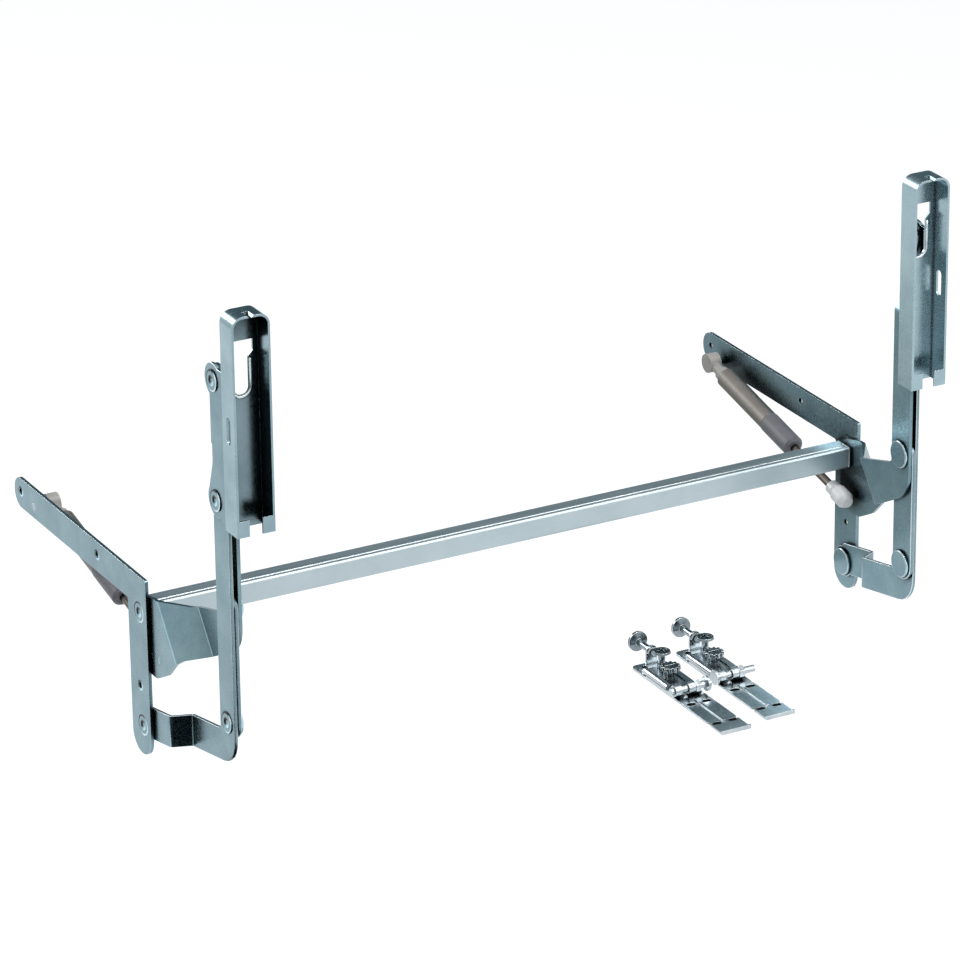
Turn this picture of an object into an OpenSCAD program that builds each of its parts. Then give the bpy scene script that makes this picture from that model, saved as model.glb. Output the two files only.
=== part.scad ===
// Lift-up door mechanism for a wall cabinet, shown with the door raised.
// Two mirrored lever sets on side plates, joined by a crossbar, with two gas struts
// and the pair of adjustable brackets that fix the door's top edge.
// Units are millimetres. +X runs along the crossbar, +Y into the cabinet, +Z up.
// The origin is the front screw hole of the left side plate, on the face that lies on the wall.

/* [Cabinet] */
// Inside width of the cabinet, over both side plates
cabinet_w = 564; // [360:1:1200]
// Thickness of all pressed steel sheet in the lever sets
sheet_t = 2.5; // [2:0.1:2.8]
// Running gap between two sheets that turn on each other
play = 0.3; // [0.25:0.05:0.5]
// Radial clearance of a pivot in its bore
bore_play = 0.1; // [0.05:0.01:0.2]
// Radial gap of a piece that is pressed or seated in its hole
seat_play = 0.05; // [0.02:0.01:0.1]

/* [Lever geometry] */
// Distance between the two pivots on a side plate, and between all paired pivots
pivot_gap = 84; // [76:1:100]
// How far the knee pivots lie in front of the plate pivots
lever_reach = 101; // [90:1:120]
// How far each knee pivot lies above its plate pivot
lever_rise = 40; // [34:1:48]
// Height of the door pivots above the knee pivots
leg_h = 160; // [140:1:200]
// Width of the upright legs
leg_w = 22; // [20:0.5:24]
// Width of the sloping arm of the lower lever
arm_w = 23; // [20:0.5:25]
// Slope of the lower lever's arm in degrees
arm_slope = 11; // [8:0.5:14]
// Bend radius on the inside of each fold
bend_r = 2; // [1:0.25:3]

/* [Side plate] */
// Width of the upright strip
strip_w = 29; // [27:0.5:32]
// Distance from the upper pivot to the strip's front edge
strip_front = 12; // [11.5:0.5:14]
// Length of the strip below the lower pivot
strip_tail = 22; // [18:1:30]
// Height of the plate's top edge above the upper pivot
plate_top = 27; // [24:0.5:32]
// Width of the rear arm
rear_arm_w = 22.5; // [20:0.5:26]
// Distance of the arm's rear end behind the upper pivot
rear_arm_end = 205; // [195:1:240]
// Diameter of the wall screw holes
screw_d = 5; // [4:0.1:6]
// Distance of the front screw hole below the upper pivot
front_hole_drop = 55; // [48:1:60]
// Distance of the middle hole behind the front hole
mid_hole_run = 64; // [56:1:80]
// Spacing of the middle and rear holes
rear_hole_run = 128; // [96:1:140]

/* [Rivets] */
// Shank diameter of the pivots
pin_d = 10; // [8:0.5:11]
// Diameter of the flat inner heads
head_d = 20; // [17:0.5:21]
// Thickness of the flat inner heads
head_t = 2; // [1.5:0.1:2.2]
// Diameter of the outer tails
tail_d = 15; // [13:0.5:16]
// Thickness of the outer tails
tail_t = 0.8; // [0.5:0.1:1]

/* [Crossbar] */
// Depth of the crossbar tube
bar_d = 17; // [14.5:0.5:18]
// Height of the crossbar tube
bar_h = 16; // [15:0.5:16.5]
// Wall of the crossbar tube
bar_wall = 1.5; // [1:0.1:2]
// Corner radius of the tube
bar_r = 2; // [1.6:0.1:3]
// Thickness of the base of the end sockets
socket_base = 2.1; // [1.9:0.1:2.6]
// Length of the plug inside the tube
socket_plug = 24; // [16:1:40]

/* [Door channel] */
// Width of the channel
channel_w = 27.5; // [25:0.5:32]
// Depth of the channel
channel_d = 17.5; // [15:0.5:20]
// Length of the channel above the upper door pivot
channel_up = 54; // [50:1:70]
// Length of the channel below the lower door pivot
channel_down = 14; // [12:1:20]
// Wall of the channel
channel_t = 1.6; // [1.5:0.1:2.2]
// Distance from the door pivots to the channel's rear face
channel_gap = 17.5; // [16:0.5:20]
// Outer corner radius at the top of the channel
channel_r = 8; // [5:0.5:10]

/* [Gas strut] */
// Diameter of the strut's tube
strut_d = 15; // [12:0.5:15.5]
// Diameter of the piston rod
rod_d = 6; // [5:0.5:8]
// Distance from the rear ball to the front end of the tube
strut_reach = 121; // [110:1:124]
// Length of the dark guide cap at the tube's front end
cap_len = 36; // [20:1:60]
// Distance of the strut's axis from the cabinet wall
strut_x = 14; // [13.5:0.1:15]

/* [Fixing brackets] */
// Length of the base plate
base_len = 126; // [120:1:150]
// Width of the base plate
base_w = 23; // [21:0.5:28]
// Thickness of the base plate
base_t = 1.5; // [1:0.1:2]
// Spacing between the two brackets
bracket_pitch = 38.5; // [36:0.5:60]

/* [Hidden] */

// Facets of a turned surface
$fn = 48;
// Steps in a rounded corner of a polygon
corner_steps = 6;
// Room that a cutting tool runs past a face
past = 1;

// Pivots in the side view, as [y, z] from the upper plate pivot
pivot_a = [0, 0];
pivot_b = [0, -pivot_gap];
pivot_c = [-lever_reach, lever_rise];
pivot_d = pivot_c + pivot_b;
pivot_e = pivot_c + [0, leg_h];
pivot_f = pivot_e + pivot_b;

// Side plate in the side view
plate_bottom = -pivot_gap - strip_tail;
hole_line = plate_top - rear_arm_w / 2 + 1.25;
front_hole = [2, -front_hole_drop];
mid_hole = [front_hole[0] + mid_hole_run, hole_line];
rear_hole = mid_hole + [rear_hole_run, 0];

// Layers across the mechanism, as distances from the cabinet wall
x_lever = sheet_t + play;
x_lever_in = x_lever + sheet_t;
x_ear = 13;
x_leg = x_ear + sheet_t + play;
x_link = x_leg + sheet_t + play;
x_inner = x_link + sheet_t + play;
x_inner_in = x_inner + sheet_t;
x_bar = x_lever_in + socket_base;
x_channel = x_ear - 2;

// Fold lines of the levers; the upper lever's lean forward by 3 in 4
fold_tilt = atan2(3, 4);
fold_outer = 28;
fold_inner = 50;
arm_fold_outer = 37;
arm_fold_inner = 45;
leg_jog_low = 105;
leg_jog_high = 112;

// Gas strut ends in the side view, with the lever as drawn
stud_k = [173, 13];
stud_s = [-11, -28];
strut_len = norm(stud_k - stud_s);
strut_angle = atan2(stud_k[1] - stud_s[1], stud_k[0] - stud_s[0]);
ball_d = 8;
stud_d = 6;
socket_r = 6.5;
ring_r = 7.2;
ring_w = 9;
tube_wall = 1.5;
tube_start = 20;
rod_end = strut_reach - 12;
front_socket_len = 15;

// Front screw hole as the origin
shift_y = -front_hole[0];
shift_z = -front_hole[1];

steel = [0.56, 0.63, 0.66];
bright = [0.72, 0.78, 0.80];
alu = [0.74, 0.80, 0.82];
strut_grey = [0.50, 0.48, 0.46];
cap_grey = [0.44, 0.43, 0.45];
socket_grey = [0.62, 0.60, 0.57];
white = [0.88, 0.87, 0.86];
bronze = [0.36, 0.32, 0.29];
zinc = [0.72, 0.75, 0.77];

function unit(v) = v / norm(v);
function turn_of(a, b) = a[0] * b[1] - a[1] * b[0];

// Arc points that round the corner p1 between p0 and p2
function corner(p0, p1, p2, r) =
    let (a = unit(p0 - p1), b = unit(p2 - p1), half = acos(a * b) / 2,
         mid = p1 + unit(a + b) * r / sin(half),
         s = p1 + a * r / tan(half), e = p1 + b * r / tan(half),
         a0 = atan2(s[1] - mid[1], s[0] - mid[0]),
         a1 = atan2(e[1] - mid[1], e[0] - mid[0]),
         sweep = a1 - a0 > 180 ? a1 - a0 - 360 : a1 - a0 < -180 ? a1 - a0 + 360 : a1 - a0)
    [for (i = [0:corner_steps]) mid + r * [cos(a0 + sweep * i / corner_steps),
                                           sin(a0 + sweep * i / corner_steps)]];

// Closed outline whose points are [y, z, corner radius]
function rounded(pts) =
    let (n = len(pts))
    [for (i = [0:n - 1])
        let (p = pts[i], q0 = pts[(i + n - 1) % n], q1 = pts[(i + 1) % n],
             arc = p[2] > 0
                 ? corner([q0[0], q0[1]], [p[0], p[1]], [q1[0], q1[1]], p[2])
                 : [[p[0], p[1]]])
        each arc];

// Point i of a folded sheet's centre line, moved to one face of the sheet
function face_point(path, i, s, t, r) =
    let (n = len(path),
         d0 = i > 0 ? unit(path[i] - path[i - 1]) : unit(path[1] - path[0]),
         d1 = i < n - 1 ? unit(path[i + 1] - path[i]) : d0,
         n0 = [-d0[1], d0[0]], n1 = [-d1[1], d1[0]], m = unit(n0 + n1),
         p = path[i] + s * t / 2 / (m * n0) * m,
         ends = i == 0 || i == n - 1,
         rr = ends ? 0 : turn_of(d0, d1) * s > 0 ? r : r + t)
    [p[0], p[1], rr];

// Outline of a folded sheet of thickness t with inside bend radius r
function sheet(path, t, r) =
    let (n = len(path))
    rounded(concat([for (i = [0:n - 1]) face_point(path, i, 1, t, r)],
                   [for (i = [n - 1:-1:0]) face_point(path, i, -1, t, r)]));

// Places a lever set, drawn from the upper pivot of the left plate
module left_set() {
    translate([0, shift_y, shift_z]) children();
}

module right_set() {
    translate([cabinet_w, shift_y, shift_z]) mirror([1, 0, 0]) children();
}

// Extrudes a side-view outline across the mechanism from x to x + t
module across(x, t) {
    translate([x, 0, 0]) rotate([90, 0, 90]) linear_extrude(t) children();
}

// Turned piece along X, its outline given as [radius, x]
module turned_x(p) {
    translate([0, p[0], p[1]]) rotate([0, 90, 0]) rotate_extrude() children();
}

// Round hole across the mechanism
module bore_x(p, d, x, t) {
    translate([x, p[0], p[1]]) rotate([0, 90, 0]) cylinder(d = d, h = t);
}

// Rivet with a dished outer tail and a flat inner head
module rivet(p, x_tail, x_head, d_tail, d_head, t_head) {
    edge = 0.5;
    turned_x(p) polygon([
        [0, x_tail + tail_t * 0.75],
        [d_tail * 0.13, x_tail + tail_t * 0.75],
        [d_tail * 0.24, x_tail],
        [d_tail / 2 - edge / 2, x_tail],
        [d_tail / 2, x_tail + edge / 2],
        [d_tail / 2, x_tail + tail_t],
        [pin_d / 2, x_tail + tail_t],
        [pin_d / 2, x_head],
        [d_head / 2, x_head],
        [d_head / 2, x_head + t_head - edge],
        [d_head / 2 - edge, x_head + t_head],
        [0, x_head + t_head]
    ]);
}

// Side plate

module side_plate_outline() {
    arm_r = rear_arm_w / 2;
    polygon(rounded([
        [-strip_front, plate_top, 1.5],
        [-strip_front, plate_bottom, strip_w / 2 - 0.5],
        [strip_w - strip_front, plate_bottom, strip_w / 2 - 0.5],
        [strip_w - strip_front, plate_top - rear_arm_w, 2],
        [rear_arm_end, plate_top - rear_arm_w, arm_r - 0.5],
        [rear_arm_end, plate_top, arm_r - 0.5]
    ]));
}

module side_plate() {
    color(steel) difference() {
        across(0, sheet_t) side_plate_outline();
        for (p = [front_hole, mid_hole, rear_hole]) bore_x(p, screw_d, -past, sheet_t + 2 * past);
        for (p = [pivot_a, pivot_b]) {
            bore_x(p, pin_d + 2 * seat_play, -past, sheet_t + 2 * past);
            bore_x(p, tail_d + 2 * seat_play, -past, tail_t + past);
        }
        bore_x(stud_k, stud_d + 2 * seat_play, -past, sheet_t + 2 * past);
    }
}

// Upper pivot in its low head under the bar socket, lower pivot with the full head
bar_head_d = 12;
bar_head_t = 1.5;

module plate_rivets() {
    color(bright) {
        rivet(pivot_a, 0, x_lever_in + play, tail_d, bar_head_d, bar_head_t);
        rivet(pivot_b, 0, x_lever_in + play, tail_d, head_d, head_t);
    }
}

// Upper lever: one pressed sheet from the wall plane to the inner plane and up the leg

hub_r = 13;
leg_r = leg_w / 2;

module upper_lever_outline() {
    leg_back = -lever_reach + leg_r;
    leg_front = -lever_reach - leg_r;
    polygon(rounded([
        [hub_r / 2, 0, 0],
        [2, hub_r - 1.2, 0],
        [-18, 16, 0],
        [-45, 17, 0],
        [leg_back, lever_rise - 10, 4],
        [leg_back, pivot_e[1], 0],
        [leg_front, pivot_e[1], 0],
        [leg_front, lever_rise - 28, 24],
        [-70, -10, 6],
        [-53, -17, 2],
        [-37, -33, 6],
        [-20, -42, 10],
        [5, -42, 10]
    ]));
    translate([pivot_e[0], pivot_e[1]]) circle(r = leg_r);
    circle(r = hub_r);
}

// Fold from the wall plane into the inner plane, along a tilted line
module upper_lever_fold() {
    xo = x_lever + sheet_t / 2;
    xi = x_inner + sheet_t / 2;
    span = 2 * lever_reach + pivot_gap;
    rotate([-fold_tilt, 0, 0]) translate([0, 0, -span / 2]) linear_extrude(span)
        polygon(sheet([[xo, 60], [xo, -fold_outer], [xi, -fold_inner], [xi, -2 * span]],
                      sheet_t, bend_r));
}

// Set-back near the top of the leg, from the inner plane to the leg plane
module upper_lever_jog() {
    xl = x_leg + sheet_t / 2;
    xi = x_inner + sheet_t / 2;
    deep = lever_reach + leg_w;
    rotate([90, 0, 0]) linear_extrude(deep)
        polygon(sheet([[xi, lever_rise + leg_jog_low / 2], [xi, lever_rise + leg_jog_low],
                       [xl, lever_rise + leg_jog_high], [xl, pivot_e[1] + leg_w]],
                      sheet_t, bend_r));
}

module upper_lever() {
    split_z = lever_rise + leg_jog_low / 2;
    wide = x_inner_in + past;
    color(steel) difference() {
        union() {
            intersection() {
                across(0, wide) upper_lever_outline();
                upper_lever_fold();
                translate([-past, -2 * lever_reach, -pivot_gap])
                    cube([wide + 2 * past, 3 * lever_reach, pivot_gap + split_z]);
            }
            intersection() {
                across(0, wide) upper_lever_outline();
                upper_lever_jog();
            }
        }
        bore_x(pivot_a, pin_d + 2 * bore_play, 0, x_lever_in + past);
        bore_x(stud_s, stud_d + 2 * seat_play, 0, x_lever_in + past);
        bore_x(pivot_c, pin_d + 2 * seat_play, x_inner - past, sheet_t + 2 * past);
        bore_x(pivot_e, pin_d + 2 * seat_play, x_leg - past, sheet_t + 2 * past);
    }
}

module upper_lever_rivets() {
    color(bright) {
        rivet(pivot_c, x_link + seat_play, x_inner_in, tail_d, head_d, head_t);
        rivet(pivot_e, x_ear - play - tail_t, x_leg + sheet_t, tail_d, head_d, head_t);
    }
}

// Lower lever

module lower_lever_outline() {
    leg_back = -lever_reach + leg_r;
    leg_front = -lever_reach - leg_r;
    hub = arm_w / 2;
    rise = tan(arm_slope);
    arm_h = arm_w / cos(arm_slope);
    top0 = -pivot_gap + hub + 2.5;
    polygon(rounded([
        [0, -pivot_gap - hub, 0],
        [hub, -pivot_gap, 0],
        [0, top0, 0],
        [leg_back, top0 - leg_back * rise, 3],
        [leg_back, pivot_f[1], 0],
        [leg_front, pivot_f[1], 0],
        [leg_front, top0 - leg_front * rise - arm_h, 22],
        [-8, top0 + 8 * rise - arm_h, 2]
    ]));
    translate([pivot_f[0], pivot_f[1]]) circle(r = leg_r);
    translate([0, -pivot_gap]) circle(r = hub);
}

module lower_lever() {
    xo = x_lever + sheet_t / 2;
    xl = x_leg + sheet_t / 2;
    tall = leg_h + 2 * pivot_gap;
    color(steel) difference() {
        intersection() {
            across(0, x_inner) lower_lever_outline();
            translate([0, 0, -2 * pivot_gap]) linear_extrude(tall)
                polygon(sheet([[xo, 2 * arm_w], [xo, -arm_fold_outer],
                               [xl, -arm_fold_inner], [xl, -2 * lever_reach]],
                              sheet_t, bend_r));
        }
        bore_x(pivot_b, pin_d + 2 * bore_play, 0, x_lever_in + past);
        for (p = [pivot_d, pivot_f])
            bore_x(p, pin_d + 2 * seat_play, x_leg - past, sheet_t + 2 * past);
    }
}

module lower_lever_rivets() {
    color(bright) {
        rivet(pivot_d, x_leg - tail_t, x_link + sheet_t + play, tail_d, head_d, head_t);
        rivet(pivot_f, x_ear - play - tail_t, x_leg + sheet_t, tail_d, head_d - 2, head_t);
    }
}

// Link that joins the two knee pivots

link_r = 11.5;

module coupler_link() {
    color(steel) difference() {
        across(x_link, sheet_t) union() {
            for (p = [pivot_c, pivot_d]) translate([p[0], p[1]]) circle(r = link_r);
            translate([-lever_reach - link_r, pivot_d[1]]) square([2 * link_r, pivot_gap]);
        }
        for (p = [pivot_c, pivot_d])
            bore_x(p, pin_d + 2 * bore_play, x_link - past, sheet_t + 2 * past);
        bore_x(pivot_c, tail_d + 2 * bore_play, x_link - past, past + tail_t + 2 * seat_play);
    }
}

// Door bracket: carries both door pivots and folds behind the channel

ear_r = 12;
ear_waist = 4;
ear_flange = 20;

module door_bracket_outline() {
    front = -lever_reach - channel_gap - past;
    y0 = -lever_reach;
    top = pivot_e[1] + ear_r - 2;
    inside = 0.6;
    polygon(rounded([
        [front, pivot_f[1] - channel_down, 0],
        [y0 + ear_r / 2, pivot_f[1] - ear_r * 0.75, 0],
        [y0 + ear_r - inside, pivot_f[1] + 2, 0],
        [y0 + ear_waist, pivot_f[1] + ear_r + 14, 20],
        [y0 + ear_waist, pivot_e[1], 0],
        [y0 - 2, top, 0],
        [front, top, 0]
    ]));
    for (p = [pivot_e, pivot_f]) translate([p[0], p[1]]) circle(r = ear_r);
}

module door_bracket() {
    xm = x_ear + sheet_t / 2;
    ym = -lever_reach - channel_gap + sheet_t / 2;
    flange_top = pivot_e[1] - ear_r;
    base = pivot_f[1] - channel_down;
    color(steel) difference() {
        intersection() {
            across(x_ear - past, ear_flange + 2 * past) door_bracket_outline();
            translate([0, 0, base - past]) linear_extrude(pivot_gap + 4 * ear_r)
                polygon(sheet([[xm, 0], [xm, ym], [x_ear + ear_flange, ym]],
                              sheet_t, bend_r));
        }
        translate([x_ear + sheet_t + bend_r + 1, ym - sheet_t, flange_top])
            cube([ear_flange, 2 * sheet_t, 4 * ear_r]);
        for (p = [pivot_e, pivot_f])
            bore_x(p, pin_d + 2 * bore_play, x_ear - past, sheet_t + 2 * past);
    }
}

// Door channel: pressed tray, open to the front and at its foot

key_slot_w = 10.4;
key_head_w = 17;
key_head_h = 8;
key_top = 31.6;
key_bottom = -6;
wall_slot_len = 18.5;
wall_slot_w = 6;
wall_slot_drop = 26;
tab_w = 9;
tab_h = 11.5;

// Keyhole in the web, seen from the front with its datum at the upper door pivot
module keyhole_outline() {
    r = key_slot_w / 2;
    step = (key_head_w - key_slot_w) / 2;
    translate([0, key_bottom + r]) circle(r = r);
    polygon([
        [-r, key_bottom + r],
        [r, key_bottom + r],
        [r, key_top - key_head_h - step],
        [r + step, key_top - key_head_h],
        [r + step, key_top],
        [-r - step, key_top],
        [-r - step, key_top - key_head_h],
        [-r, key_top - key_head_h - step]
    ]);
}

module channel_outline(inset) {
    low = pivot_f[1] - channel_down;
    high = pivot_e[1] + channel_up;
    polygon(rounded([
        [x_channel + inset, low - (inset > 0 ? past : 0), 0],
        [x_channel + channel_w - inset, low - (inset > 0 ? past : 0), 0],
        [x_channel + channel_w - inset, high - inset, channel_r - inset],
        [x_channel + inset, high - inset, channel_r - inset]
    ]));
}

module door_channel() {
    back = -lever_reach - channel_gap;
    front = back - channel_d;
    low = pivot_f[1] - channel_down;
    high = pivot_e[1] + channel_up;
    mid_x = x_channel + channel_w / 2;
    slot_y = back - channel_d * 0.5;
    slot_z = pivot_e[1] - wall_slot_drop;
    slot_half = (wall_slot_len - wall_slot_w) / 2;
    color(bright) difference() {
        union() {
            difference() {
                translate([0, back, 0]) rotate([90, 0, 0])
                    linear_extrude(channel_d) channel_outline(0);
                translate([0, back - channel_t, 0]) rotate([90, 0, 0])
                    linear_extrude(channel_d) channel_outline(channel_t);
            }
            for (x = [x_channel, x_channel + channel_w - tab_w])
                translate([x, front, low]) cube([tab_w, channel_t, tab_h]);
        }
        translate([mid_x, back + past, pivot_e[1]]) rotate([90, 0, 0])
            linear_extrude(channel_t + 2 * past) keyhole_outline();
        across(x_channel - past, channel_t + 2 * past) union() {
            for (s = [-1, 1]) translate([slot_y, slot_z + s * slot_half])
                circle(d = wall_slot_w);
            translate([slot_y - wall_slot_w / 2, slot_z - slot_half])
                square([wall_slot_w, 2 * slot_half]);
        }
        translate([mid_x, front - past, high + past]) rotate([-90, 0, 0])
            linear_extrude(channel_d / 2) polygon([[-4, -past], [4, -past], [0, channel_t + past * 2]]);
    }
}

// Ball studs

module rear_stud() {
    color(bright) bore_x(stud_k, stud_d, 0, strut_x - ring_w / 2 - play);
}

module front_stud() {
    color(bright) {
        bore_x(stud_s, stud_d, x_lever, strut_x - x_lever);
        translate([strut_x, stud_s[0], stud_s[1]]) sphere(d = ball_d);
    }
}

// Gas strut, drawn from the rear ball at the origin towards the front ball along +X

module strut_place() {
    translate([strut_x, stud_k[0], stud_k[1]]) rotate([strut_angle - 180, 0, 0])
        rotate([0, 0, 90]) children();
}

module along_strut() {
    rotate([0, 90, 0]) rotate_extrude() children();
}

module rear_socket() {
    neck = 4;
    color(socket_grey) {
        strut_place() along_strut() polygon([
            [0, 0],
            [neck, 0],
            [neck, 14],
            [5.5, 15],
            [5.5, tube_start],
            [0, tube_start]
        ]);
        bore_x(stud_k, 2 * ring_r, strut_x - ring_w / 2, ring_w);
    }
}

module strut_tube() {
    r = strut_d / 2;
    color(strut_grey) strut_place() along_strut() polygon([
        [0, tube_start],
        [r - 1.5, tube_start],
        [r, tube_start + 1.5],
        [r, strut_reach - cap_len],
        [r - tube_wall, strut_reach - cap_len],
        [r - tube_wall, tube_start + 3],
        [0, tube_start + 3]
    ]);
}

module strut_cap() {
    r = strut_d / 2 + 0.4;
    bore = rod_d / 2 + bore_play;
    inner = strut_d / 2 - tube_wall;
    color(cap_grey) strut_place() along_strut() polygon([
        [inner, strut_reach - cap_len],
        [r - 0.5, strut_reach - cap_len],
        [r, strut_reach - cap_len + 0.5],
        [r, strut_reach - 2],
        [r - 2, strut_reach],
        [bore, strut_reach],
        [bore, strut_reach - 8],
        [inner, strut_reach - 8]
    ]);
}

module strut_rod() {
    color(bronze) strut_place() along_strut() polygon([
        [0, rod_end],
        [rod_d / 2, rod_end],
        [rod_d / 2, strut_len - front_socket_len],
        [0, strut_len - front_socket_len]
    ]);
}

module strut_piston() {
    r = strut_d / 2 - tube_wall - bore_play;
    color(strut_grey) strut_place() along_strut() polygon([
        [0, rod_end - 6],
        [r, rod_end - 6],
        [r, rod_end],
        [0, rod_end]
    ]);
}

module front_socket() {
    color(white) difference() {
        strut_place() along_strut() polygon([
            [0, strut_len - front_socket_len],
            [5, strut_len - front_socket_len],
            [5.5, strut_len - 9],
            [5, strut_len - 8],
            [socket_r, strut_len - 6],
            [socket_r, strut_len + 4],
            [4, strut_len + socket_r + 1.5],
            [0, strut_len + socket_r + 1.5]
        ]);
        translate([strut_x, stud_s[0], stud_s[1]]) sphere(d = ball_d + 2 * bore_play);
        bore_x(stud_s, stud_d + 2 * bore_play, 0, strut_x);
    }
}

// Crossbar and its end sockets

module bar_outline(inset) {
    y = bar_d / 2 - inset;
    z = bar_h / 2 - inset;
    r = max(bar_r - inset, 0.4);
    polygon(rounded([[-y, -z, r], [y, -z, r], [y, z, r], [-y, z, r]]));
}

module crossbar() {
    groove_w = 1;
    groove_deep = 0.5;
    color(alu) translate([0, shift_y, shift_z]) difference() {
        across(x_bar, cabinet_w - 2 * x_bar) bar_outline(0);
        across(0, cabinet_w) bar_outline(bar_wall);
        across(0, cabinet_w) translate([-bar_d / 2 + 4, bar_h / 2 - groove_deep])
            square([groove_w, groove_deep + past]);
    }
}

module bar_socket() {
    gap = 0.15;
    color(steel) difference() {
        union() {
            across(x_lever_in, socket_base) bar_outline(0);
            across(x_bar, socket_plug) bar_outline(bar_wall + gap);
        }
        bore_x(pivot_a, bar_head_d + 4 * play, x_lever_in - past, past + socket_base - play / 2);
    }
}

// Fixing brackets, drawn from the rear end of the base plate on the floor, front at -Y

floor_z = plate_bottom + shift_z;
bracket_x = 368;
bracket_y = -45;
bracket_step = 5.5;
slot_near = 75;
slot_pitch = 35;
rib_w = 2;
rib_start = 70;
rib_len = 39;
ear_x = 3.7;
ear_w = 9;
ear_y = -2;
hook_z = 11;
hook_d = 5;
lip_h = 3;
carriage_y = -12;
carriage_len = 42;
carriage_t = 1.5;
carriage_top = base_t + carriage_t;
roll_r = 2.6;
roll_start = carriage_y - 5;
roll_len = 32;
hem_h = 2.3;
clamp_y = carriage_y - carriage_len - 6;
clamp_z = base_t + 5;
clamp_d = 5;
hex_at = 4.5;
knuckle_r = 4;
knuckle_w = 5;
lock_x = 4.5;
lock_y = carriage_y - 4;
wheel_x = 4;
wheel_y = carriage_y - 17;

module first_bracket() {
    translate([bracket_x, bracket_y, floor_z]) children();
}

module second_bracket() {
    translate([bracket_x + bracket_pitch, bracket_y + bracket_step, floor_z]) children();
}

module slot_hole(x, y, w, run) {
    translate([x, y, -past]) linear_extrude(base_t + 2 * past) union() {
        for (s = [-1, 1]) translate([s * (run - w) / 2, 0]) circle(d = w);
        square([run - w, w], center = true);
    }
}

module fixing_base() {
    half = base_w / 2;
    color(zinc) difference() {
        union() {
            linear_extrude(base_t) polygon(rounded([
                [-half, 0, 4], [half, 0, 4], [half, -base_len, 1], [-half, -base_len, 1]
            ]));
            translate([-rib_w / 2, -rib_start - rib_len, 0]) cube([rib_w, rib_len, base_t + 0.8]);
            translate([-half, -base_len, 0]) cube([base_w, base_t, lip_h]);
            translate([ear_x - ear_w / 2, ear_y - base_t, 0]) cube([ear_w, base_t, hook_z]);
            translate([ear_x, ear_y, hook_z]) rotate([90, 0, 0]) cylinder(r = ear_w / 2, h = base_t);
        }
        for (y = [-slot_near, -slot_near - slot_pitch]) for (s = [-1, 1])
            slot_hole(s * half * 0.55, y, 4, 7);
        for (s = [-1, 1]) {
            translate([s * half - 1.5, -rib_start - rib_len, -past]) cube([3, 3, lip_h + past]);
            translate([s * half - 0.8, -rib_start, -past]) cube([1.6, 1.6, lip_h + past]);
        }
        translate([-3.5, -6, -past]) cylinder(d = 4.5, h = base_t + 2 * past);
        translate([ear_x, past, hook_z]) rotate([90, 0, 0])
            cylinder(d = hook_d + 2 * bore_play, h = 8);
    }
}

module fixing_carriage() {
    half = base_w / 2 - roll_r;
    color(zinc) difference() {
        union() {
            translate([-half, carriage_y - carriage_len, base_t])
                cube([2 * half, carriage_len, carriage_t]);
            translate([-half, roll_start, base_t + roll_r])
                rotate([90, 0, 0]) cylinder(r = roll_r, h = roll_len);
            translate([half - 1, roll_start - roll_len, base_t]) cube([roll_r + 2, roll_len, hem_h]);
            for (x = [-base_w / 2, hex_at - play - knuckle_w]) {
                translate([x, clamp_y, base_t]) cube([knuckle_w, -clamp_y - carriage_len / 2, carriage_t]);
                translate([x, clamp_y, clamp_z]) rotate([0, 90, 0])
                    cylinder(r = knuckle_r, h = knuckle_w);
            }
        }
        translate([-base_w, clamp_y, clamp_z]) rotate([0, 90, 0])
            cylinder(d = clamp_d + 2 * bore_play, h = 2 * base_w);
    }
}

module hook_screw() {
    r = hook_d / 2;
    color(zinc) translate([ear_x, 0, hook_z]) rotate([90, 0, 0]) rotate_extrude()
        polygon([[0, -17], [2, -18], [7, -18], [7.5, -17.5], [7.5, -15.5], [r, -14.5], [r, 7], [0, 7]]);
}

module hook_nut() {
    nut_h = 2.5;
    color(zinc) translate([ear_x, ear_y - base_t, hook_z]) rotate([90, 0, 0])
        difference() {
            cylinder(d = 9, h = nut_h, $fn = 6);
            translate([0, 0, -past]) cylinder(d = hook_d + bore_play, h = nut_h + 2 * past);
        }
}

module lock_screw() {
    color(zinc) translate([lock_x, lock_y, carriage_top]) difference() {
        rotate_extrude() polygon([[0, 0], [2.5, 0], [2.5, 10.5], [6.5, 12], [6, 13.5], [0, 14]]);
        for (a = [0, 90]) rotate([0, 0, a]) translate([-4, -0.6, 12.5]) cube([8, 1.2, 3]);
    }
}

wheel_teeth = 12;

module toothed_wheel() {
    tooth = 1.8;
    r = 5.8;
    color(zinc) translate([wheel_x, wheel_y, carriage_top]) difference() {
        union() {
            cylinder(r = 2.5, h = 6);
            translate([0, 0, 4.5]) linear_extrude(3) union() {
                circle(r = r);
                for (i = [0:wheel_teeth - 1]) rotate(i * 360 / wheel_teeth)
                    translate([r - 0.4, -tooth / 2]) square([tooth, tooth]);
            }
        }
        translate([-4, -0.7, 6.5]) cube([8, 1.4, 3]);
    }
}

// Clamp bolt across the carriage's knuckles, drawn from its left end along +X
module clamp_bolt(disc_at) {
    left_end = -base_w / 2 - 2.5;
    color(zinc) translate([0, clamp_y, clamp_z]) rotate([0, 90, 0]) {
        translate([0, 0, left_end]) cylinder(d = clamp_d, h = base_w + 9);
        translate([0, 0, hex_at]) cylinder(d = 9.5, h = 4, $fn = 6);
        translate([0, 0, disc_at]) cylinder(r = 5.5, h = 2);
    }
}

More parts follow.
